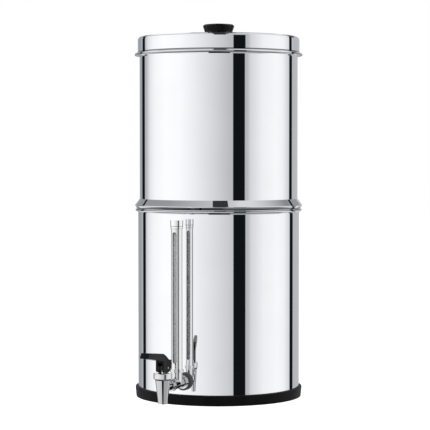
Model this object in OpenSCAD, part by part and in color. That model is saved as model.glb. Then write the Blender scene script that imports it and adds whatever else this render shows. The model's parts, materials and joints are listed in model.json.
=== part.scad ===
// Stainless steel gravity water filter: an upper chamber with filter elements stands on a lower
// chamber that has a lever tap and a sight gauge. The origin is the centre of the base ring's
// underside, +Z is up, and the tap points along -Y. Sizes are in millimetres.

/* [Drum] */
// Outside radius of the lower chamber
lower_r = 104.2; // [86:0.1:126]
// Gap between the upper chamber's wall and the lower one's, where they nest
nest_gap = 1.5; // [0.8:0.1:2]
// Thickness of the sheet steel
sheet = 0.8; // [0.5:0.1:1.2]
// Height of the seam between the chambers, where the upper shoulder rests
seam_z = 242.4; // [200:0.1:292]
// Height of the upper chamber's rolled rim above the seam
upper_rise = 199.3; // [165:0.1:240]
// Radius of the rolled rims
bead_r = 1.7; // [1.5:0.1:2.6]
// How far the wall flares outwards before each rolled rim
rim_flare = 0.6; // [0:0.1:1]
// Radius of the chambers' bottom edges
bottom_edge_r = 5; // [3:0.5:8]
// Depth to which the upper chamber nests in the lower one
nest_depth = 20; // [15:1:28]
// How far the ridge above the seam stands out past its shoulder
ridge_out = 2.3; // [2:0.1:4]
// Height of the ridge's nose above the seam
ridge_nose_rise = 4.3; // [2.4:0.1:5]
// Height at which the ridge's cone meets the upper wall, above the seam
ridge_rise = 12.6; // [9:0.1:14]

/* [Base ring] */
// Height of the rubber base ring
base_ring_h = 12.9; // [10:0.1:20]
// Thickness of the rubber below the lower chamber
base_floor = 3.2; // [2.5:0.1:5]
// How far the ring's lip stands out from the lower wall
base_proud = 3.6; // [2.5:0.1:5]
// Taper of the ring's outside, from lip to floor
base_taper = 1.2; // [0:0.1:2]
// Radial width of the ring's floor
base_floor_w = 12; // [8:0.5:20]

/* [Lid] */
// Height of the lid's top above the underside of its flange
lid_rise = 21.5; // [15:0.1:30]
// Radius of the lid's top edge
lid_edge_r = 4.5; // [2:0.1:8]
// How far the lid's flange stands out from its skirt
lid_flange_out = 4; // [3.9:0.1:6]
// Radius of the flange's turned-down edge
lid_curl_r = 2.3; // [1.5:0.1:3]

/* [Knob] */
// Height of the knob
knob_h = 17.5; // [12:0.1:22]
// Radius of the knob near its top
knob_top_r = 20.4; // [15:0.1:26]
// How far the knob is drawn in where it meets the lid
knob_foot_in = 5.2; // [3:0.1:7]
// Radius of the knob's screw
knob_screw_r = 2.5; // [2:0.1:3]

/* [Filter elements] */
// Radius of the circle of holes in the upper chamber's floor
hole_circle_r = 48; // [40:0.5:60]
// Radius of the element's end caps
element_r = 28.5; // [22:0.5:34.5]
// Headroom between the elements and the top of the upper rim
element_headroom = 21.4; // [5:0.1:60]
// Radius of the element's threaded stem
element_stem_r = 5.5; // [4:0.1:7]
// Length of the stem below the element
element_stem_l = 30; // [20:1:36]
// Thickness of the element's sealing washer
element_seal_t = 3; // [2:0.1:4]

/* [Tap] */
// Height of the spigot's axis above the base ring
spigot_rise = 17; // [12.6:0.1:25]
// Radius of the spigot's threaded shank
shank_r = 6.8; // [6:0.1:9.5]
// Radius of the barrel in front of the wall
barrel_r = 6.7; // [5.5:0.1:8]
// Radius of the water way through the spigot
water_r = 3.2; // [2.5:0.1:3.9]
// Radius of the black outer washer
outer_washer_r = 11; // [10:0.1:14.5]
// Thickness of the black outer washer
outer_washer_t = 4.5; // [3:0.1:6]
// Length of the barrel beyond the sight gauge's axis
barrel_end = 15; // [12:0.5:20]
// Length of the neck, from the collar to the valve's axis
neck_l = 21.9; // [19:0.1:35]
// Radius of the spout at the bonnet
spout_top_r = 9.35; // [7.75:0.05:11.25]
// Radius of the spout at its tip
spout_tip_r = 5.65; // [4.7:0.05:7]
// Length of the spout below the spigot's axis
spout_l = 20.3; // [15:0.1:24]
// Radius of the outlet bore
outlet_r = 3.8; // [2.5:0.1:4.5]
// How far the bonnet stands out past the spout
bonnet_out = 2.1; // [1.8:0.05:4]
// Height of the bonnet
bonnet_h = 8.7; // [7:0.1:11]
// Height of the bonnet's underside above the spigot's axis
bonnet_rise = 8.8; // [7.1:0.1:12]

/* [Lever] */
// Width of the lever
lever_w = 11; // [9:0.5:14]
// Gap between the lever's cheeks
cheek_gap = 5.8; // [5:0.1:7]
// Radius of the cam under the lever's cheeks
cam_r = 16; // [14:0.5:18]
// Distance from the valve's axis to the lever's tip
lever_reach = 50.8; // [45:0.5:65]
// Radius of the lever's pin
pin_r = 1.2; // [1:0.05:1.45]

/* [Sight gauge] */
// Distance of the gauge's axis from the lower chamber's wall
gauge_u = 21.6; // [18:0.5:24]
// Gap between the glass tube and the steel sleeve
sleeve_gap = 1.5; // [1:0.05:2]
// Thickness of the sleeve
sleeve_t = 0.8; // [0.5:0.1:1.2]
// Radius of the glass tube
glass_r = 4.75; // [3.95:0.05:5.7]
// Thickness of the glass
glass_t = 1.2; // [0.8:0.1:1.5]
// How far the gauge's top lies below the seam
gauge_drop = 11.1; // [8:0.1:60]
// Width of the sleeve's slots
slot_w = 5.6; // [4:0.1:6.5]
// Distance from the gauge's socket up to the slots
slot_above_socket = 10.8; // [5:0.1:40]
// Distance from the slots up to the gauge's cap
slot_below_cap = 7.3; // [5:0.1:40]
// How far the gauge's cap stands out past the sleeve
gauge_cap_out = 1; // [1:0.05:2.5]
// Height of the gauge's cap
gauge_cap_h = 7.2; // [5:0.1:9]
// How far the nut at the gauge's foot stands out past the sleeve
gauge_nut_out = 1.55; // [1:0.05:2.5]

/* [Hidden] */
$fn = 96;
wall_fn = 720;     // for faces that lie against the drum's wall

steel = [0.80, 0.81, 0.82];
black_rubber = [0.10, 0.10, 0.11];
black_plastic = [0.06, 0.06, 0.07];
silicone = [0.86, 0.86, 0.84];
glass = [0.80, 0.90, 0.92, 0.4];
carbon = [0.16, 0.16, 0.17];
resin = [0.20, 0.30, 0.52];

// Clearances
face_gap = 0.05;   // between faces that are clamped together
slip_gap = 0.08;   // between a sliding or turning shaft and its bore
rest_gap = 0.1;    // between a rolled rim and what rests on it
past = 1;          // how far a cut runs past the face it goes through

// Drum
upper_r = lower_r - sheet - nest_gap;
lower_floor_z = base_floor + face_gap;
lower_bead = [lower_r + rim_flare + bead_r - sheet, seam_z - rest_gap - bead_r];
flare_h = bead_r + 1.2;
upper_floor_z = seam_z - nest_depth;
upper_bead = [upper_r + rim_flare + bead_r - sheet, seam_z + upper_rise - bead_r];
ridge_nose_r = 0.8;
rim_curl_end = -110;
shoulder_r = lower_bead[0];

// Lid
lid_r = upper_bead[0] + sheet;
lid_foot_r = 0.6;
lid_fold_r = lid_foot_r + sheet;     // the fold that rests on the upper chamber's rim
lid_under_z = upper_bead[1] + sqrt(pow(bead_r + rest_gap + lid_fold_r, 2) - pow(lid_fold_r, 2))
    - lid_fold_r;
lid_top_z = lid_under_z + lid_rise;
lid_lip_drop = 0.8;
lid_hole_r = knob_screw_r + 0.2;

// Knob
knob_edge = [2.2, 1.8];
knob_dome = 1.2;
knob_waist_h = knob_h - 10;
knob_waist_r = knob_top_r - 2.2;
knob_foot_r = knob_top_r - knob_foot_in;
knob_socket_h = knob_h - 6;
washer_t = 1;
washer_r = 8;
screw_head_h = 2.4;
screw_socket = 2.5;
screw_head_r = 4.6;

// Upper chamber's fittings
floor_hole_r = element_stem_r + 0.5;
element_z = upper_floor_z + sheet + element_seal_t + 2 * face_gap;
element_h = seam_z + upper_rise - element_headroom - element_z;
element_base_h = 10;
element_cap_h = 12;
block_r = element_r - 1;
block_bore_r = 7;
cap_skirt = 0.9;
cap_skirt_h = 5;
seal_r = element_stem_r + 7.5;
wing_nut_h = 8;
wing_hub_r = element_stem_r + 3.5;
wing_span = 34;
wing_t = 3.6;
wing_drop = 4;
plug_head_r = element_stem_r + 5.5;
plug_head_h = 3.5;
plug_washer_t = 2.5;
plug_stem_l = 16;
plug_nut_r = element_stem_r + 4;
plug_nut_h = 6;
element_angles = [180, 0];
plug_angles = [90, 270];

// Tap
spigot_h = base_ring_h + spigot_rise;
wall_hole_r = shank_r + 0.4;
inner_washer_t = 3;
inner_washer_r = shank_r + 4.2;
lock_nut_h = 6;
lock_nut_across = 2 * inner_washer_r;
shank_inside = inner_washer_t + lock_nut_h + 4;
flange_t = 1.8;
flange_r = shank_r + 1.8;
barrel_l = gauge_u + barrel_end;
tee_washer_t = 0.8;
tee_washer_r = barrel_r + 0.7;
collar_t = 2.6;
collar_r = barrel_r + 1.4;
valve_u = barrel_l + collar_t + neck_l;
neck_r = 6;
stub_r = 5;
stub_l = 8;
spout_tip_h = spigot_h - spout_l;
bonnet_r = spout_top_r + bonnet_out;
bonnet_z = spigot_h + bonnet_rise;
bonnet_top_z = bonnet_z + bonnet_h;
bonnet_roof = 2.6;
bonnet_chamfer = [1.4, 2];
seal_ring_t = 0.9;
seat_z = spigot_h - 4.7;
throat_r = spout_top_r - 0.85;
valve_r = outlet_r + 2.2;
bonnet_bore_r = throat_r + 0.1;
throat_top_z = bonnet_top_z - bonnet_roof - seal_ring_t - 2 * face_gap;

// Stem, seat cup and spring
stem_r = 2;
cup_r = valve_r - 0.6;
stem_flange_r = cup_r - 0.2;
stem_flange_t = 1.6;
cup_h = 7.5;
cup_edge = 0.8;
stem_flange_z = seat_z + face_gap + cup_h + face_gap;
stem_stub_l = 5;
pin_q = -3.6;
pin_rise = 6;
pin_z = bonnet_top_z + pin_rise;
eye_r = pin_r + 2.2;
eye_t = cheek_gap - 1.4;
wire_r = 0.45;
coil_r = valve_r - 2.1;
coil_turns = 5.5;
coil_rings = 8;
coil_sides = 6;
spring_z0 = stem_flange_z + stem_flange_t + face_gap;
spring_z1 = bonnet_top_z - bonnet_roof - face_gap;

// Lever, in the plane of the valve's axis: q is the distance outwards from that axis
cam_centre = [-1, bonnet_top_z + rest_gap + cam_r];
hood_q = [-12.6, 8.2];
hood_root_z = bonnet_top_z + 15.2;
hood_rear_z = bonnet_top_z + 10.8;
hood_side_z = bonnet_top_z + 8;
hood_lip = [1.4, 1.2, 1];
back = [2, bonnet_top_z + 21.3];
shoulder = [9, bonnet_top_z + 24.5];
tip_z = [bonnet_top_z + 22.4, bonnet_top_z + 28.9];
tip_slant = 4;
tip_edge_r = 1.6;
slot_top_z = bonnet_top_z + 13;
slot_rear = [-10.6, bonnet_top_z + 9.8];

// Sight gauge
sleeve_r = glass_r + sleeve_gap + sleeve_t;
gauge_cap_r = sleeve_r + gauge_cap_out;
gauge_nut_r = sleeve_r + gauge_nut_out;
gauge_top_h = seam_z - gauge_drop;
socket_r = glass_r + 2.25;
socket_top_z = spigot_h + 14.3;
socket_seat_z = spigot_h + 7.3;
socket_bore_r = glass_r + 0.9;
gauge_nut_h = 3.4;
sleeve_z = socket_top_z + 1.4;
gauge_cap_z = gauge_top_h - gauge_cap_h;
cap_roof = 1.5;
cap_neck_h = 3.4;
cap_neck_r = sleeve_r + 0.65;
sleeve_top_z = gauge_top_h - cap_roof - face_gap;
slot_z = [socket_top_z + slot_above_socket + slot_w / 2, gauge_cap_z - slot_below_cap - slot_w / 2];
glass_z = [socket_seat_z + face_gap, gauge_top_h - cap_roof - 2];
seal_h = 4;
vent_r = 1;

// ---------- Shared shapes ----------

// Points along an arc about centre c, from angle a0 to angle a1
function arc(c, r, a0, a1, n = 6) =
    [for (i = [0:n]) let (a = a0 + (a1 - a0) * i / n) c + r * [cos(a), sin(a)]];

function left_normal(a, b) = let (d = (b - a) / norm(b - a)) [-d[1], d[0]];

// Direction and length in which a line's point moves when the line is set off by 1 to its left
function mitre(line, i) =
    let (last = len(line) - 1,
        before = i > 0 ? left_normal(line[i - 1], line[i]) : left_normal(line[0], line[1]),
        after = i < last ? left_normal(line[i], line[i + 1]) : before)
    (before + after) / (1 + before * after);

// A sheet of thickness t on the left of a line of points
module sheet_section(line, t) {
    polygon(concat(line, [for (i = [len(line) - 1:-1:0]) line[i] + t * mitre(line, i)]));
}

module tube(r, bore, z0, z1) {
    difference() {
        translate([0, 0, z0]) cylinder(r = r, h = z1 - z0);
        translate([0, 0, z0 - past]) cylinder(r = bore, h = z1 - z0 + 2 * past);
    }
}

module rod(r, z0, z1) {
    translate([0, 0, z0]) cylinder(r = r, h = z1 - z0);
}

module hexagon(across, z0, z1) {
    translate([0, 0, z0]) cylinder(d = across / cos(30), h = z1 - z0, $fn = 6);
}

// Places its children with +Z pointing outwards along the spigot, u from the lower chamber's wall
module along_spigot(u = 0) {
    translate([0, -lower_r - u, spigot_h]) rotate([90, 0, 0]) children();
}

module at_valve() {
    translate([0, -lower_r - valve_u, 0]) children();
}

module at_gauge() {
    translate([0, -lower_r - gauge_u, 0]) children();
}

// Places its children at the holes in the upper chamber's floor, at these angles
module at_floor_holes(angles) {
    for (a = angles) rotate(a) translate([hole_circle_r, 0, 0]) children();
}

// ---------- Drum ----------

// Outer line of a rolled rim, from the wall up and over to the curl's end
function rolled_rim(r, bead) =
    concat([[r, bead[1] - flare_h]], arc(bead, bead_r - sheet, 180, rim_curl_end, 18));

module base_ring() color(black_rubber) {
    lip_r = lower_r + base_proud;
    edge = 1.2;
    rotate_extrude() polygon(concat(
        [[lower_r - base_floor_w, 0], [lip_r - base_taper, 0]],
        arc([lip_r - edge, base_ring_h - edge], edge, 0, 90),
        arc([lower_r + face_gap + edge, base_ring_h - edge], edge, 90, 180),
        [[lower_r + face_gap, base_floor], [lower_r - base_floor_w, base_floor]]));
}

module lower_chamber() color(steel) {
    line = concat([[0, lower_floor_z]],
        arc([lower_r - bottom_edge_r, lower_floor_z + bottom_edge_r], bottom_edge_r, -90, 0),
        rolled_rim(lower_r, lower_bead));
    difference() {
        rotate_extrude() sheet_section(line, sheet);
        along_spigot(-3 * inner_washer_t) rod(wall_hole_r, 0, 4 * inner_washer_t);
    }
}

module upper_chamber() color(steel) {
    nose = [shoulder_r + ridge_out - ridge_nose_r, seam_z + ridge_nose_rise];
    line = concat([[0, upper_floor_z]],
        arc([upper_r - bottom_edge_r, upper_floor_z + bottom_edge_r], bottom_edge_r, -90, 0),
        [[upper_r, seam_z], [shoulder_r, seam_z]],
        arc(nose, ridge_nose_r, -45, 35, 4),
        [[upper_r, seam_z + ridge_rise]],
        rolled_rim(upper_r, upper_bead));
    difference() {
        rotate_extrude() sheet_section(line, sheet);
        at_floor_holes(concat(element_angles, plug_angles))
            rod(floor_hole_r, upper_floor_z - past, upper_floor_z + sheet + past);
    }
}

// ---------- Lid ----------

module lid() color(steel) {
    flange_r = lid_r + lid_flange_out;
    flange_z = lid_under_z + sheet;
    line = concat(
        [[flange_r, flange_z - lid_curl_r - lid_lip_drop]],
        arc([flange_r - lid_curl_r, flange_z - lid_curl_r], lid_curl_r, 0, 90),
        arc([lid_r + lid_foot_r, flange_z + lid_foot_r], lid_foot_r, 270, 180, 4),
        arc([lid_r - lid_edge_r, lid_top_z - lid_edge_r], lid_edge_r, 0, 90),
        [[lid_hole_r, lid_top_z]]);
    rotate_extrude() sheet_section(line, sheet);
}

module lid_knob() color(black_plastic) {
    top_z = lid_top_z + knob_h;
    rim_z = top_z - knob_dome;
    difference() {
        rotate_extrude() polygon([
            [0, lid_top_z + face_gap], [knob_foot_r, lid_top_z + face_gap],
            [knob_waist_r, lid_top_z + knob_waist_h],
            [knob_top_r, rim_z - knob_edge[1]], [knob_top_r - knob_edge[0], rim_z],
            [knob_top_r / 2, top_z - knob_dome / 3], [0, top_z]]);
        rod(knob_screw_r, lid_top_z - past, lid_top_z + knob_socket_h);
    }
}

module knob_washer() color(steel) {
    top_z = lid_top_z - sheet - face_gap;
    tube(washer_r, lid_hole_r, top_z - washer_t, top_z);
}

module knob_screw() color(steel) {
    head_z = lid_top_z - sheet - washer_t - 2 * face_gap;
    rod(knob_screw_r - face_gap, head_z - screw_head_h / 2, lid_top_z + knob_socket_h - 1);
    difference() {
        rod(screw_head_r, head_z - screw_head_h, head_z);
        hexagon(screw_socket, head_z - screw_head_h - past, head_z - screw_head_h / 2);
    }
}

// ---------- Filter elements ----------

module at_element(side) {
    at_floor_holes([element_angles[side]]) children();
}

module carbon_block(side) color(carbon) at_element(side) {
    tube(block_r - cap_skirt, block_bore_r, element_z + element_base_h + face_gap,
        element_z + element_h - element_cap_h - face_gap);
}

// End cap with a skirt that holds the block; the skirt stands on the side that dir points to
module end_cap(z, h, dir) {
    cap_bottom = dir > 0 ? z : z - cap_skirt_h;
    difference() {
        rod(element_r, cap_bottom, cap_bottom + h + cap_skirt_h);
        rod(block_r - cap_skirt + face_gap, dir > 0 ? z + h : z - cap_skirt_h - past,
            dir > 0 ? z + h + cap_skirt_h + past : z);
    }
}

module element_cap(side) color(resin) at_element(side) {
    end_cap(element_z + element_h - element_cap_h, element_cap_h, -1);
}

module element_base(side) color(resin) at_element(side) {
    difference() {
        union() {
            end_cap(element_z, element_base_h, 1);
            rod(element_stem_r, element_z - element_stem_l, element_z + past);
        }
        rod(element_stem_r / 2, element_z - element_stem_l - past,
            element_z + element_base_h + past);
    }
}

module element_seals() color(silicone) {
    at_floor_holes(element_angles)
        tube(seal_r, element_stem_r + face_gap, upper_floor_z + sheet + face_gap,
            element_z - face_gap);
}

module wing_nuts() color(resin) {
    top_z = upper_floor_z - face_gap;
    at_floor_holes(element_angles) difference() {
        union() {
            rod(wing_hub_r, top_z - wing_nut_h, top_z);
            translate([-wing_span / 2, -wing_t / 2, top_z - wing_nut_h - wing_drop])
                cube([wing_span, wing_t, wing_nut_h]);
        }
        rod(element_stem_r + face_gap, top_z - 2 * wing_nut_h, top_z + past);
    }
}

module hole_plugs() color(resin) {
    head_z = upper_floor_z + sheet + plug_washer_t + 2 * face_gap;
    at_floor_holes(plug_angles) {
        rod(plug_head_r, head_z, head_z + plug_head_h);
        rod(element_stem_r, head_z - plug_stem_l, head_z + past);
    }
}

module plug_washers() color(silicone) {
    z = upper_floor_z + sheet + face_gap;
    at_floor_holes(plug_angles) tube(plug_head_r, element_stem_r + face_gap, z, z + plug_washer_t);
}

module plug_nuts() color(resin) {
    top_z = upper_floor_z - face_gap;
    at_floor_holes(plug_angles) difference() {
        hexagon(2 * plug_nut_r, top_z - plug_nut_h, top_z);
        rod(element_stem_r + face_gap, top_z - plug_nut_h - past, top_z + past);
    }
}

// ---------- Spigot ----------

module gauge_tee() color(steel) {
    inside_u = -sheet - shank_inside;
    difference() {
        union() {
            along_spigot() {
                rod(shank_r, inside_u, outer_washer_t);
                rod(flange_r, outer_washer_t + face_gap, outer_washer_t + flange_t);
                rod(barrel_r, outer_washer_t, barrel_l - tee_washer_t);
            }
            at_gauge() rod(socket_r, spigot_h, socket_top_z);
        }
        along_spigot() {
            rod(water_r, inside_u - past, barrel_l);
            rod(stub_r + face_gap, barrel_l - tee_washer_t - stub_l, barrel_l);
        }
        at_gauge() {
            rod(water_r, spigot_h, socket_top_z);
            rod(socket_bore_r, socket_seat_z, socket_top_z + past);
        }
    }
}

// A washer that is shaped to the round wall on one side
module wall_washer(u0, u1, r, bore) {
    difference() {
        along_spigot() tube(r, bore, u0, u1);
        children();
    }
}

module tap_outer_washer() color(black_rubber) {
    wall_washer(-2, outer_washer_t, outer_washer_r, shank_r + face_gap)
        rod(lower_r + face_gap, 0, 2 * spigot_h, $fn = wall_fn);
}

module tap_inner_washer() color(silicone) {
    inner_wall_r = lower_r - sheet - face_gap;
    wall_washer(-sheet - inner_washer_t, -sheet, inner_washer_r, shank_r + face_gap)
        tube(2 * inner_wall_r, inner_wall_r, 0, 2 * spigot_h, $fn = wall_fn);
}

module tap_lock_nut() color(black_plastic) {
    u0 = -sheet - inner_washer_t - face_gap - lock_nut_h;
    along_spigot() difference() {
        hexagon(lock_nut_across, u0, u0 + lock_nut_h);
        rod(shank_r + face_gap, u0 - past, u0 + lock_nut_h + past);
    }
}

module tee_washer() color(black_rubber) {
    along_spigot()
        tube(tee_washer_r, stub_r + 2 * face_gap, barrel_l - tee_washer_t + face_gap,
            barrel_l - face_gap);
}

module tap_body() color(steel) {
    difference() {
        union() {
            along_spigot() {
                rod(stub_r, barrel_l - tee_washer_t - stub_l + face_gap, barrel_l + collar_t);
                rod(collar_r, barrel_l, barrel_l + collar_t);
                rod(neck_r, barrel_l, valve_u);
            }
            at_valve() {
                translate([0, 0, spout_tip_h])
                    cylinder(r1 = spout_tip_r, r2 = spout_top_r, h = bonnet_z - spout_tip_h);
                rod(throat_r, bonnet_z - 1, throat_top_z);
            }
        }
        along_spigot() rod(water_r, 0, valve_u);
        at_valve() {
            rod(outlet_r, spout_tip_h - past, seat_z + past);
            rod(valve_r, seat_z, throat_top_z + past);
        }
    }
}

module tap_bonnet() color(steel) at_valve() {
    difference() {
        rotate_extrude() polygon([
            [0, bonnet_z + face_gap], [bonnet_r - bonnet_chamfer[0], bonnet_z + face_gap],
            [bonnet_r, bonnet_z + bonnet_chamfer[1]], [bonnet_r, bonnet_top_z - 0.6],
            [bonnet_r - 0.6, bonnet_top_z], [0, bonnet_top_z]]);
        rod(bonnet_bore_r, bonnet_z - past, bonnet_top_z - bonnet_roof);
        rod(stem_r + slip_gap, bonnet_z, bonnet_top_z + past);
    }
}

module bonnet_seal() color(silicone) at_valve() {
    tube(throat_r, valve_r, throat_top_z + face_gap, throat_top_z + face_gap + seal_ring_t);
}

// ---------- Valve ----------

module tap_stem() color(steel) at_valve() {
    difference() {
        union() {
            rod(stem_r, stem_flange_z - stem_stub_l, pin_z);
            rod(stem_flange_r, stem_flange_z, stem_flange_z + stem_flange_t);
            intersection() {
                union() {
                    translate([0, -pin_q, pin_z]) rotate([0, 90, 0])
                        cylinder(r = eye_r, h = eye_t, center = true);
                    translate([-eye_t / 2, -stem_r, pin_z - eye_r])
                        cube([eye_t, stem_r - pin_q, 2 * eye_r - 1]);
                }
                rod(2 * eye_r + stem_r, pin_z - 2 * eye_r, pin_z + 2 * eye_r);
            }
        }
        translate([0, -pin_q, pin_z]) rotate([0, 90, 0])
            cylinder(r = pin_r + slip_gap, h = 2 * eye_t, center = true);
    }
}

module seat_cup() color(silicone) at_valve() {
    foot_z = seat_z + face_gap;
    difference() {
        rotate_extrude() polygon([
            [0, foot_z], [cup_r - cup_edge, foot_z], [cup_r, foot_z + cup_edge],
            [cup_r, foot_z + cup_h], [0, foot_z + cup_h]]);
        rod(stem_r + face_gap, stem_flange_z - stem_stub_l - face_gap, foot_z + cup_h + past);
    }
}

// Rings of points along a coil whose ends run level for a quarter turn
function coil_point(turn, z0, z1) =
    let (level = 0.25, climb = max(0, min(1, (turn - level) / (coil_turns - 2 * level))))
    [coil_r * cos(360 * turn), coil_r * sin(360 * turn), z0 + (z1 - z0) * climb];

function coil_ring(turn, z0, z1) =
    let (c = coil_point(turn, z0, z1), out = [cos(360 * turn), sin(360 * turn), 0])
    [for (i = [0:coil_sides - 1]) let (a = 360 * i / coil_sides)
        c + wire_r * (cos(a) * out + sin(a) * [0, 0, 1])];

module stem_spring() color(steel) at_valve() {
    rings = coil_turns * coil_rings;
    z0 = spring_z0 + wire_r;
    z1 = spring_z1 - wire_r;
    points = [for (i = [0:rings]) each coil_ring(i / coil_rings, z0, z1)];
    sides = [for (i = [0:rings - 1], k = [0:coil_sides - 1]) each
        let (a = i * coil_sides + k, b = i * coil_sides + (k + 1) % coil_sides,
            c = b + coil_sides, d = a + coil_sides) [[a, b, c], [a, c, d]]];
    last = rings * coil_sides;
    ends = concat([for (k = [1:coil_sides - 2]) [0, k + 1, k]],
        [for (k = [1:coil_sides - 2]) [last, last + k, last + k + 1]]);
    pitch = (z1 - z0) / (coil_turns - 0.5);
    echo(spring_gap = pitch * 0.75 - 2 * wire_r);
    polyhedron(points, concat(sides, ends));
}

// ---------- Lever ----------

// Places a drawing with its x pointing outwards from the valve's axis and its y pointing up
module in_lever_plane() {
    at_valve() rotate([90, 0, -90]) children();
}

// The arm with its slanted tip, the sloping back of the hood, and the lip at the hood's rear
module lever_outline() {
    lip_q = hood_q[0] - hood_lip[0];
    polygon(concat(
        [[hood_q[1], hood_side_z], [hood_q[1], hood_root_z]],
        arc([lever_reach - tip_edge_r, tip_z[0] + tip_edge_r], tip_edge_r, -90, 0, 4),
        [[lever_reach - tip_slant, tip_z[1]], shoulder, back,
            [lip_q, hood_rear_z], [lip_q, hood_rear_z - hood_lip[1]],
            [hood_q[0], hood_rear_z - hood_lip[1] - hood_lip[2]], [hood_q[0], hood_side_z]]));
    intersection() {
        translate(cam_centre) circle(cam_r);
        translate([hood_q[0], bonnet_top_z])
            square([hood_q[1] - hood_q[0], hood_root_z - bonnet_top_z]);
    }
}

module tap_lever() color(black_plastic) {
    in_lever_plane() difference() {
        linear_extrude(lever_w, center = true) lever_outline();
        linear_extrude(cheek_gap, center = true) polygon([
            [slot_rear[0], bonnet_top_z - past], slot_rear, [0, slot_top_z],
            [hood_q[1] + past, slot_top_z], [hood_q[1] + past, bonnet_top_z - past]]);
        translate([pin_q, pin_z, 0]) cylinder(r = pin_r + face_gap, h = 2 * lever_w, center = true);
    }
}

module lever_pin() color(steel) {
    in_lever_plane() translate([pin_q, pin_z, 0])
        cylinder(r = pin_r, h = lever_w + 0.4, center = true);
}

// ---------- Sight gauge ----------

module gauge_nut() color(steel) at_gauge() {
    z = socket_top_z + face_gap;
    difference() {
        rod(gauge_nut_r, z, z + gauge_nut_h);
        rod(glass_r + 0.2, z - past, z + gauge_nut_h);
        rod(sleeve_r + face_gap, sleeve_z - face_gap, z + gauge_nut_h + past);
    }
}

module gauge_sleeve() color(steel) at_gauge() {
    difference() {
        tube(sleeve_r, sleeve_r - sleeve_t, sleeve_z, sleeve_top_z);
        translate([-slot_w / 2, -sleeve_r - past, slot_z[0]])
            cube([slot_w, 2 * (sleeve_r + past), slot_z[1] - slot_z[0]]);
        for (z = slot_z) translate([0, 0, z]) rotate([90, 0, 0])
            cylinder(d = slot_w, h = 2 * (sleeve_r + past), center = true);
    }
}

module gauge_glass() color(glass) at_gauge() {
    tube(glass_r, glass_r - glass_t, glass_z[0], glass_z[1]);
}

module gauge_cap() color(steel) at_gauge() {
    difference() {
        union() {
            rod(gauge_cap_r, gauge_cap_z, gauge_top_h);
            rod(cap_neck_r, gauge_cap_z - cap_neck_h, gauge_cap_z + past);
        }
        rod(sleeve_r + face_gap, gauge_cap_z - cap_neck_h - past, sleeve_top_z + face_gap);
        rod(vent_r, gauge_cap_z, gauge_top_h + past);
    }
}

module gauge_lower_seal() color(silicone) at_gauge() {
    tube(socket_bore_r - face_gap, glass_r + face_gap, socket_seat_z + face_gap,
        socket_seat_z + face_gap + seal_h);
}

module gauge_upper_seal() color(silicone) at_gauge() {
    tube(sleeve_r - sleeve_t - face_gap, glass_r + face_gap, glass_z[1] - seal_h - 1,
        glass_z[1] - 1);
}

base_ring();
lower_chamber();
upper_chamber();
lid();
lid_knob();
knob_screw();
knob_washer();
carbon_block(0);  // carbon_block_left
carbon_block(1);  // carbon_block_right
element_cap(0);  // element_cap_left
element_cap(1);  // element_cap_right
element_base(0);  // element_base_left
element_base(1);  // element_base_right
element_seals();
wing_nuts();
hole_plugs();
plug_washers();
plug_nuts();
gauge_tee();
tap_outer_washer();
tap_inner_washer();
tap_lock_nut();
tee_washer();
tap_body();
tap_bonnet();
bonnet_seal();
tap_stem();
seat_cup();
stem_spring();
tap_lever();
lever_pin();
gauge_sleeve();
gauge_glass();
gauge_nut();
gauge_cap();
gauge_lower_seal();
gauge_upper_seal();
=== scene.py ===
"""Gravity water filter with tap: the looks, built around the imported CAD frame."""
import json
import math

import bmesh
import bpy
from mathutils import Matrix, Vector


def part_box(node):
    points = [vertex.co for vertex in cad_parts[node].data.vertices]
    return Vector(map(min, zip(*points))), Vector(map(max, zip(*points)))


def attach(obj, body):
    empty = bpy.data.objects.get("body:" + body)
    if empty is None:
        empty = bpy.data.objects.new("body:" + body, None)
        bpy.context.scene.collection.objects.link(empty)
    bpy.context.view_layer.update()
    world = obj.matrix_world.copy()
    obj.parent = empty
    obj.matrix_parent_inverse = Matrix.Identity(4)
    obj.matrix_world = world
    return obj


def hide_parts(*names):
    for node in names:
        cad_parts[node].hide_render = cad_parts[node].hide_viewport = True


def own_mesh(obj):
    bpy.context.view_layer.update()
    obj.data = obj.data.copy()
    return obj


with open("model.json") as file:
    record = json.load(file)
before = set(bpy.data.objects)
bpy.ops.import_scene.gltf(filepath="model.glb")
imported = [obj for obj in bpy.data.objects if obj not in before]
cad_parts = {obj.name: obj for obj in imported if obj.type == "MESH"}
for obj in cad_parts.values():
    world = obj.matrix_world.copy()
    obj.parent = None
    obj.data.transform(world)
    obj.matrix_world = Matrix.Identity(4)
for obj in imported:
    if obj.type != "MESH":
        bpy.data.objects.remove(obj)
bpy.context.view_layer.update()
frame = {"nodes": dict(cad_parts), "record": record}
NODES = frame["nodes"]
SCENE = bpy.context.scene
MM = 0.001


def add_object(name, data):
    """A new object in the scene."""
    obj = bpy.data.objects.new(name, data)
    SCENE.collection.objects.link(obj)
    return obj


# ---------------------------------------------------------------- shader helpers


def new_material(name):
    """A material with its node tree and its Principled shader."""
    mat = bpy.data.materials.new(name)
    mat.use_nodes = True
    tree = mat.node_tree
    return mat, tree, tree.nodes["Principled BSDF"]


def node(tree, kind, inputs=None, **settings):
    """One shader node; inputs maps a socket's name or number to a value or to another node's output."""
    made = tree.nodes.new(kind)
    for key, value in settings.items():
        setattr(made, key, value)
    for key, value in (inputs or {}).items():
        socket = made.inputs[key]
        if isinstance(value, bpy.types.NodeSocket):
            tree.links.new(value, socket)
        else:
            socket.default_value = value
    return made


def link(tree, output, socket):
    tree.links.new(output, socket)


def math_node(tree, operation, a, b=0.0, c=0.0):
    return node(tree, "ShaderNodeMath", {0: a, 1: b, 2: c}, operation=operation).outputs[0]


def times(tree, a, b):
    return math_node(tree, "MULTIPLY", a, b)


def larger(tree, a, b):
    return math_node(tree, "MAXIMUM", a, b)


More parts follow.
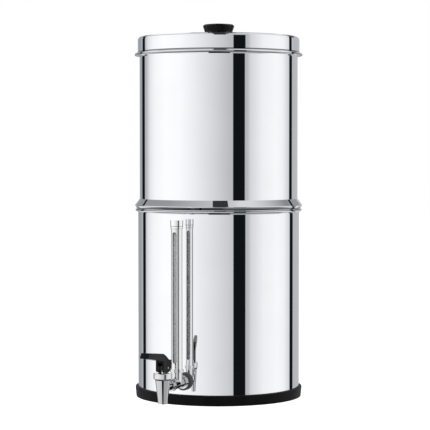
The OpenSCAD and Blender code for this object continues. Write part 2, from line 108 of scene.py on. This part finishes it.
def remap(tree, value, low, high, to_low, to_high):
    """Maps low..high to to_low..to_high and holds the ends beyond."""
    inputs = {"Value": value, "From Min": low, "From Max": high, "To Min": to_low, "To Max": to_high}
    return node(tree, "ShaderNodeMapRange", inputs).outputs[0]


def between(tree, value, low, high, soft):
    """1 where value lies between low and high, 0 outside, with edges softened by soft to each side."""
    rise = remap(tree, value, low - soft, low + soft, 0.0, 1.0)
    fall = remap(tree, value, high - soft, high + soft, 1.0, 0.0)
    return times(tree, rise, fall)


def colour_ramp(tree, value, *stops):
    """stops are (place, (r, g, b)) from low to high."""
    made = node(tree, "ShaderNodeValToRGB", {"Fac": value})
    elements = made.color_ramp.elements
    for i, (place, colour) in enumerate(stops):
        stop = elements[i] if i < 2 else elements.new(place)
        stop.position = place
        stop.color = (*colour, 1)
    return made.outputs["Color"]


def blend_colour(tree, factor, a, b):
    """Colour a where factor is 0, and b where it is 1."""
    mix = node(tree, "ShaderNodeMix", {0: factor}, data_type="RGBA", clamp_factor=True)
    for key, value in (("A", a), ("B", b)):
        if isinstance(value, bpy.types.NodeSocket):
            link(tree, value, mix.inputs[key])
        else:
            mix.inputs[key].default_value = (*value, 1)
    return mix.outputs["Result"]


def object_place(tree):
    """The point on the surface, in the object's own metres."""
    return node(tree, "ShaderNodeTexCoord").outputs["Object"]


def axis_distance(tree, x, y):
    """The distance from the upright axis through x, y."""
    offset = node(tree, "ShaderNodeVectorMath", {0: object_place(tree), 1: (-x, -y, 0.0)}, operation="ADD").outputs[0]
    flat = node(tree, "ShaderNodeVectorMath", {0: offset, 1: (1.0, 1.0, 0.0)}, operation="MULTIPLY").outputs[0]
    return node(tree, "ShaderNodeVectorMath", {0: flat}, operation="LENGTH").outputs["Value"]


def noise(tree, scale, detail=3.0, stretch=(1.0, 1.0, 1.0)):
    """Noise with scale features per metre."""
    mapped = node(tree, "ShaderNodeMapping", {"Vector": object_place(tree), "Scale": stretch}).outputs[0]
    return node(tree, "ShaderNodeTexNoise", {"Vector": mapped, "Scale": scale, "Detail": detail}).outputs["Fac"]


def bump(tree, height, strength, distance):
    return node(tree, "ShaderNodeBump", {"Height": height, "Strength": strength, "Distance": distance}).outputs[0]


# ---------------------------------------------------------------- materials


def steel(name, colour, rough, rough_spread, lines):
    """Polished steel: a soft cloud in its tone and polish, and fine lines round the upright axis."""
    mat, tree, shader = new_material(name)
    shader.inputs["Metallic"].default_value = 1.0
    cloud = noise(tree, 26.0, 4.0)
    tone = tuple(c * 0.975 for c in colour)
    link(tree, colour_ramp(tree, cloud, (0.3, tone), (0.7, colour)), shader.inputs["Base Color"])
    fine = noise(tree, 60.0, 2.0, (1.0, 1.0, 60.0))
    mixed = math_node(tree, "MULTIPLY_ADD", fine, 0.5, times(tree, cloud, 0.5))
    link(tree, remap(tree, mixed, 0.3, 0.7, rough, rough + rough_spread), shader.inputs["Roughness"])
    link(tree, bump(tree, fine, lines, 0.02 * MM), shader.inputs["Normal"])
    return mat


def moulded(name, colour, pale, rough, grain_scale, grain, specular=0.5):
    """Moulded plastic, rubber or carbon: a cloud in its colour and gloss, and a fine grain."""
    mat, tree, shader = new_material(name)
    cloud = noise(tree, 90.0)
    link(tree, colour_ramp(tree, cloud, (0.35, colour), (0.7, pale)), shader.inputs["Base Color"])
    link(tree, remap(tree, cloud, 0.3, 0.7, rough * 0.85, rough * 1.15), shader.inputs["Roughness"])
    link(tree, bump(tree, noise(tree, grain_scale, 2.0), grain, 0.2 * MM), shader.inputs["Normal"])
    shader.inputs["Specular IOR Level"].default_value = specular
    return mat


def shadow_rings(mat, *rings):
    """Darkens mat in rings round the upright axis, where gaps too narrow to resolve lie in shadow.

    Each ring is (edge's z, from and to in mm above the edge, smallest radius, darkness).
    """
    tree = mat.node_tree
    base = tree.nodes["Principled BSDF"].inputs["Base Color"]
    z = node(tree, "ShaderNodeSeparateXYZ", {0: object_place(tree)}).outputs["Z"]
    radius = axis_distance(tree, 0.0, 0.0)
    soft = 0.15 * MM
    shade = 0.0
    for edge, low, high, from_radius, darkness in rings:
        level = times(tree, between(tree, z, edge + low * MM, edge + high * MM, soft), darkness)
        outside = math_node(tree, "GREATER_THAN", radius, from_radius)
        shade = larger(tree, times(tree, level, outside), shade)
    link(tree, blend_colour(tree, shade, base.links[0].from_socket, (0.01, 0.01, 0.012)), base)


def satin_inside(mat, centre, radius, rough):
    """Gives a tube's steel a pale satin inner wall, within radius of the upright axis through centre."""
    tree = mat.node_tree
    shader = tree.nodes["Principled BSDF"]
    inside = math_node(tree, "LESS_THAN", axis_distance(tree, centre.x, centre.y), radius)
    outer = shader.inputs["Roughness"].links[0].from_socket
    mix = node(tree, "ShaderNodeMix", {"Factor": inside, "A": outer, "B": rough})
    link(tree, mix.outputs["Result"], shader.inputs["Roughness"])
    link(tree, math_node(tree, "SUBTRACT", 1.0, inside), shader.inputs["Metallic"])


# name, colour, roughness and its spread, strength of the lines
DRUM = steel("drum_steel", (0.93, 0.935, 0.95), 0.002, 0.012, 0.0)
TAP = steel("tap_steel", (0.76, 0.76, 0.755), 0.03, 0.03, 0.1)
SLEEVE = steel("sleeve_steel", (0.86, 0.86, 0.855), 0.06, 0.05, 0.1)
CAP = steel("cap_steel", (0.93, 0.93, 0.925), 0.005, 0.015, 0.0)
TURNED = steel("turned_steel", (0.72, 0.72, 0.72), 0.2, 0.12, 0.3)
# name, darker and paler colour, roughness, grain per metre and its strength, specular level
RUBBER = moulded("black_rubber", (0.004, 0.004, 0.0043), (0.007, 0.007, 0.0073), 0.42, 1400.0, 0.25, 0.07)
WASHER = moulded("washer_rubber", (0.07, 0.07, 0.071), (0.085, 0.085, 0.086), 0.5, 1400.0, 0.2, 0.2)
KNOB = moulded("knob_plastic", (0.004, 0.004, 0.0045), (0.006, 0.006, 0.0065), 0.12, 500.0, 0.02, 0.1)
LEVER = moulded("lever_plastic", (0.004, 0.004, 0.0045), (0.007, 0.007, 0.0075), 0.22, 2200.0, 0.12, 0.12)
CARBON = moulded("carbon", (0.02, 0.02, 0.02), (0.05, 0.05, 0.05), 0.8, 900.0, 0.9, 0.3)
RESIN = moulded("blue_resin", (0.045, 0.12, 0.34), (0.06, 0.15, 0.4), 0.25, 700.0, 0.06)
SILICONE = moulded("silicone", (0.78, 0.78, 0.75), (0.84, 0.84, 0.81), 0.38, 600.0, 0.05)
SILICONE.node_tree.nodes["Principled BSDF"].inputs["Subsurface Weight"].default_value = 0.2


def clear_glass():
    """Clear tube: see-through where it is seen square on, and denser towards its edges."""
    mat, tree, shader = new_material("gauge_glass")
    tint = colour_ramp(tree, noise(tree, 30.0), (0.3, (0.7, 0.72, 0.72)), (0.7, (0.74, 0.76, 0.76)))
    link(tree, tint, shader.inputs["Base Color"])
    link(tree, remap(tree, noise(tree, 60.0), 0.3, 0.7, 0.01, 0.05), shader.inputs["Roughness"])
    facing = node(tree, "ShaderNodeLayerWeight", {"Blend": 0.35}).outputs["Facing"]
    link(tree, remap(tree, facing, 0.0, 1.0, 0.42, 0.85), shader.inputs["Alpha"])
    return mat


GLASS = clear_glass()

SEAM_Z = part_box("lower_chamber")[1].z
FLANGE_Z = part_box("upper_chamber")[1].z
CAP_FOOT_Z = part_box("gauge_cap")[0].z
SEAM_RADIUS, FLANGE_RADIUS = 104.6 * MM, 103.0 * MM
shadow_rings(
    DRUM,
    (SEAM_Z, 0.6, 2.0, SEAM_RADIUS, 0.92), (SEAM_Z, -1.4, -0.5, SEAM_RADIUS, 0.78),
    (FLANGE_Z, 0.75, 2.3, FLANGE_RADIUS, 0.8), (FLANGE_Z, -2.4, -1.5, FLANGE_RADIUS, 0.7),
)
shadow_rings(CAP, (CAP_FOOT_Z, -1.0, 0.5, 0.0, 0.6), (CAP_FOOT_Z, 2.9, 3.6, 0.0, 0.7))

sleeve_low, sleeve_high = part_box("gauge_sleeve")
SLEEVE_RADIUS = (sleeve_high.x - sleeve_low.x) / 2
satin_inside(SLEEVE, (sleeve_low + sleeve_high) / 2, SLEEVE_RADIUS - 0.4 * MM, 0.4)

MATERIAL_OF_SLOT = {
    "polished_steel": DRUM, "tap_steel": TAP, "fastener_steel": TURNED, "black_rubber": RUBBER,
    "knob_plastic": KNOB, "lever_plastic": LEVER, "silicone": SILICONE, "gauge_glass": GLASS,
    "carbon": CARBON, "blue_resin": RESIN,
}
MATERIAL_OF_NODE = {"gauge_sleeve": SLEEVE, "gauge_cap": CAP, "tap_outer_washer": WASHER}
for part in frame["record"]["subparts"]:
    materials = NODES[part["node"]].data.materials
    materials.clear()
    materials.append(MATERIAL_OF_NODE.get(part["node"], MATERIAL_OF_SLOT[part["material_slot"]]))


# ---------------------------------------------------------------- the coil spring in the tap's bonnet

WIRE_RADIUS = 0.45 * MM
TURNS, LEVEL_TURNS = 5.5, 0.25  # the wire lies level for part of a turn at each end
RINGS, SIDES = 132, 12

spring_low, spring_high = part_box("stem_spring")
spring_middle = (spring_low + spring_high) / 2
SPRING_HEIGHT = spring_high.z - spring_low.z
COIL_RADIUS = (spring_high.x - spring_low.x) / 2 - WIRE_RADIUS


def wire_ring(built, turn):
    """The ring of points round the wire's middle, turn turns up the coil."""
    climb = min(1.0, max(0.0, (turn - LEVEL_TURNS) / (TURNS - 2 * LEVEL_TURNS)))
    z = spring_low.z + WIRE_RADIUS + (SPRING_HEIGHT - 2 * WIRE_RADIUS) * climb
    out = Vector((math.cos(math.tau * turn), math.sin(math.tau * turn), 0))
    middle = Vector((spring_middle.x, spring_middle.y, z)) + out * COIL_RADIUS
    angles = [math.tau * k / SIDES for k in range(SIDES)]
    return [built.verts.new(middle + WIRE_RADIUS * (math.cos(a) * out + Vector((0, 0, math.sin(a))))) for a in angles]


coil = bmesh.new()
loops = [wire_ring(coil, TURNS * i / RINGS) for i in range(RINGS + 1)]
for a, b in zip(loops, loops[1:]):
    for k in range(SIDES):
        coil.faces.new((a[k], a[(k + 1) % SIDES], b[(k + 1) % SIDES], b[k]))
coil.faces.new(loops[0][::-1])
coil.faces.new(loops[-1])
bmesh.ops.recalc_face_normals(coil, faces=coil.faces)

coil_mesh = bpy.data.meshes.new("spring_coil")
coil.to_mesh(coil_mesh)
coil.free()
coil_mesh.materials.append(TURNED)
for face in coil_mesh.polygons:
    face.use_smooth = True
spring = add_object("spring_coil", coil_mesh)
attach(spring, "lower")
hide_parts("stem_spring")
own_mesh(spring)


# ---------------------------------------------------------------- studio
# A light tent with two narrow black joints behind, one black flag beside the camera, a grey roof with a dark
# hatch over the object, a grey ground with a dark tripod low in front, and two black cards to the right. It is
# fixed in the room. Only shiny and clear surfaces see it: the camera sees plain white, and everything else is
# lit by a plain grey.
#
# A direction is told by its bearing, in degrees round the object from the photo's camera with rightwards
# positive, and by its height, the z of a unit vector.

CAMERA_AZIMUTH = math.radians(24.15)
TOWARDS = (math.sin(CAMERA_AZIMUTH), -math.cos(CAMERA_AZIMUTH), 0.0)
RIGHTWARDS = (math.cos(CAMERA_AZIMUTH), math.sin(CAMERA_AZIMUTH), 0.0)
BLACK_CARD = (0.005, 0.0065, 0.008)
STUDIO_STRENGTH, PLAIN_STRENGTH = 1.07, 0.6

WORLD = bpy.data.worlds.new("studio")
SCENE.world = WORLD
WORLD.use_nodes = True
wt = WORLD.node_tree
wt.nodes.clear()


def grey(level, cool=3.5):
    """A display grey, 0 to 255, as a linear colour; all but the lightest lean slightly to blue."""
    lean = cool * min(1.0, max(0.0, (248 - level) / 20))
    return tuple(((min(255.0, v) / 255 + 0.055) / 1.055) ** 2.4 for v in (level, level + 0.2 * lean, level + lean))


def grey_ramp(value, low, high, *stops):
    """Greys over value from low to high; a stop is (value, level) or (value, level, lean to blue)."""
    placed = [((at - low) / (high - low), grey(*level)) for at, *level in stops]
    return colour_ramp(wt, remap(wt, value, low, high, 0.0, 1.0), *placed)


def band(value, low, high, soft):
    return between(wt, value, low, high, soft)


def fade(value, start, end):
    """0 at start and before, 1 at end and beyond."""
    return remap(wt, value, start, end, 0.0, 1.0)


def both(a, b):
    return times(wt, a, b)


def either(a, b):
    return larger(wt, a, b)


def paint(picture, where, colour):
    return blend_colour(wt, where, picture, colour)


def along(axis):
    return node(wt, "ShaderNodeVectorMath", {0: direction, 1: axis}, operation="DOT_PRODUCT").outputs["Value"]


direction = node(wt, "ShaderNodeTexCoord").outputs["Generated"]
towards, aside = along(TOWARDS), along(RIGHTWARDS)
height = node(wt, "ShaderNodeSeparateXYZ", {0: direction}).outputs["Z"]

# twice the bearing of the upright round surface that mirrors this direction to the camera, whatever its tilt,
# and the cotangent of that tilt
forward = larger(wt, math_node(wt, "ADD", towards, 1.0), 0.0001)
tilted_bearing = times(wt, math_node(wt, "ARCTAN2", aside, forward), 360 / math.pi)
squares = math_node(wt, "ADD", math_node(wt, "POWER", aside, 2.0), math_node(wt, "POWER", forward, 2.0))
tilt_cotangent = math_node(wt, "DIVIDE", math_node(wt, "SQRT", squares), larger(wt, height, 0.05))

# low down the plain bearing is the same within a degree, and it doesn't crowd together straight behind
level_bearing = times(wt, math_node(wt, "ARCTAN2", aside, towards), 180 / math.pi)
high_up = fade(height, 0.15, 0.2)
bearing = node(wt, "ShaderNodeMix", {"Factor": high_up, "A": level_bearing, "B": tilted_bearing}).outputs["Result"]

tent = grey_ramp(
    bearing, -180.0, 180.0,
    (-180, 176), (-151, 150, 9), (-137, 176), (-129, 183), (-118.5, 228), (-106, 246), (-83, 255), (-58, 252),
    (-36, 238), (-10, 216), (17, 187), (42, 184), (46.5, 213), (66, 240), (92, 249), (106, 243), (119, 215),
    (133, 180), (180, 189),
)
paler_foot = both(band(bearing, -45.0, 25.0, 12.0), remap(wt, height, -0.028, -0.033, 0.0, 0.18))
tent = paint(tent, paler_foot, grey(255))

black = both(band(bearing, 20.6, 38.2, 0.5), fade(height, 0.55, 0.4))
# the joints step outwards beside the upper chamber: height from and to, left joint, right joint
JOINTS = (
    (-1.1, -0.0305, (-136.9, -127.1), (121.6, 129.9)),
    (-0.0305, 0.0545, (-148.3, -135.9), (124.5, 131.6)),
    (0.0545, 1.1, (-138.2, -128.9), (119.3, 127.3)),
)
for low, high, left, right in JOINTS:
    pair = either(band(bearing, *left, 0.5), band(bearing, *right, 0.5))
    black = either(black, both(pair, band(height, low, high, 0.001)))
tent = paint(tent, black, BLACK_CARD)

# the two cards, above and below, which the tap's barrel mirrors as its dark bands
card_place = band(tilted_bearing, 123.0, 141.0, 2.0)
tent = paint(tent, both(card_place, band(height, 0.3, 0.46, 0.02)), BLACK_CARD)

# the roof, a ring as the ridge's cone mirrors it: across is -1 at the cone's left edge and 1 at its right edge
CONE_COTANGENT = 1.45
across = math_node(wt, "DIVIDE", aside, larger(wt, times(wt, height, CONE_COTANGENT), 0.05))
roof = grey_ramp(
    across, -1.0, 1.0,
    (-1, 146), (-0.58, 150), (-0.43, 163), (-0.18, 181), (0.16, 198), (0.24, 213), (0.39, 213), (0.54, 195),
    (0.68, 168), (0.83, 132), (0.9, 147), (1, 147),
)
roof = paint(roof, either(band(across, -0.96, -0.92, 0.006), band(across, 0.885, 0.925, 0.006)), BLACK_CARD)
roof_ring = both(band(tilt_cotangent, 1.2, 1.75, 0.03), fade(height, 0.11, 0.17))
studio = paint(tent, roof_ring, roof)
hatch = both(band(aside, -0.094, 0.148, 0.004), band(towards, -0.9, 0.8, 0.02))
studio = paint(studio, both(hatch, fade(height, 0.25, 0.3)), grey(50))

ground = grey_ramp(height, -1.0, 0.0, (-1, 60), (-0.65, 90), (-0.5, 165), (-0.36, 222), (-0.24, 236))
ground = paint(ground, times(wt, band(bearing, 10.0, 105.0, 6.0), 0.55), grey(125))
tripod = both(band(bearing, -15.0, 17.0, 1.0), band(height, -0.75, -0.24, 0.02))
ground = paint(ground, tripod, BLACK_CARD)
studio = paint(studio, fade(height, -0.25, -0.29), ground)
studio = paint(studio, both(card_place, band(height, -0.5, -0.36, 0.015)), BLACK_CARD)

WHITE = (1, 1, 1, 1)
path = node(wt, "ShaderNodeLightPath").outputs
shiny = either(path["Is Glossy Ray"], path["Is Transmission Ray"])
plain = node(wt, "ShaderNodeBackground", {"Color": WHITE, "Strength": PLAIN_STRENGTH}).outputs[0]
seen = node(wt, "ShaderNodeBackground", {"Color": WHITE, "Strength": 1.0}).outputs[0]
mirrored = node(wt, "ShaderNodeBackground", {"Color": studio, "Strength": STUDIO_STRENGTH}).outputs[0]
unseen = node(wt, "ShaderNodeMixShader", {0: shiny, 1: plain, 2: mirrored}).outputs[0]
surface = node(wt, "ShaderNodeMixShader", {0: path["Is Camera Ray"], 1: unseen, 2: seen}).outputs[0]
node(wt, "ShaderNodeOutputWorld", {"Surface": surface})


def lamp(name, place, power):
    """A soft square lamp aimed at the object, which mirrors don't show."""
    data = bpy.data.lights.new(name, "AREA")
    data.shape = "RECTANGLE"
    data.size = data.size_y = 1.4
    data.energy = power
    obj = add_object(name, data)
    obj.location = place
    obj.rotation_euler = (Vector((0, 0, 0.2)) - Vector(place)).to_track_quat("-Z", "Y").to_euler()
    obj.visible_glossy = False
    obj.visible_transmission = False


lamp("key", (-1.6, -1.8, 1.6), 22.0)
lamp("fill", (2.0, -1.2, 1.2), 14.0)

# the floor: white to the camera, with the object's shadow
floor_mesh = bpy.data.meshes.new("floor")
sheet = bmesh.new()
bmesh.ops.create_grid(sheet, x_segments=8, y_segments=8, size=6.0)
sheet.to_mesh(floor_mesh)
sheet.free()
floor = add_object("floor", floor_mesh)
floor.location.z = -0.3 * MM
floor.visible_glossy = False
floor_mat, ft, floor_shader = new_material("floor")
ft.nodes.remove(floor_shader)
diffuse = node(ft, "ShaderNodeBsdfDiffuse", {"Color": (0.9, 0.9, 0.9, 1)}).outputs[0]
glow = node(ft, "ShaderNodeEmission", {"Color": WHITE, "Strength": 0.8}).outputs[0]
glowing = node(ft, "ShaderNodeAddShader", {0: diffuse, 1: glow}).outputs[0]
camera_ray = node(ft, "ShaderNodeLightPath").outputs["Is Camera Ray"]
floor_surface = node(ft, "ShaderNodeMixShader", {0: camera_ray, 1: diffuse, 2: glowing}).outputs[0]
link(ft, floor_surface, ft.nodes["Material Output"].inputs["Surface"])
floor_mesh.materials.append(floor_mat)

# ---------------------------------------------------------------- camera

MM_PER_PIXEL = 1.295  # at the drum's axis
MIDDLE_PIXEL = 215
DRUM_PIXEL, FOOT_PIXEL, EYE_PIXEL = 218.6, 395.35, 150.5  # the drum's axis across, its foot and the eye's level down
DISTANCE = 2.27


def pixels(count):
    """The length in metres of count pixels."""
    return count * MM_PER_PIXEL * MM


eye = Vector(TOWARDS) * DISTANCE + Vector((0, 0, pixels(FOOT_PIXEL - EYE_PIXEL)))
aim = Vector(RIGHTWARDS) * pixels(MIDDLE_PIXEL - DRUM_PIXEL) + Vector((0, 0, pixels(FOOT_PIXEL - MIDDLE_PIXEL)))
camera_data = bpy.data.cameras.new("camera")
camera_data.sensor_width = 36.0
camera_data.lens = 146.85
camera_data.clip_start, camera_data.clip_end = 0.05, 50.0
camera = add_object("camera", camera_data)
camera.location = eye
camera.rotation_euler = (aim - eye).to_track_quat("-Z", "Y").to_euler()
SCENE.camera = camera

SCENE.view_settings.view_transform = "Standard"
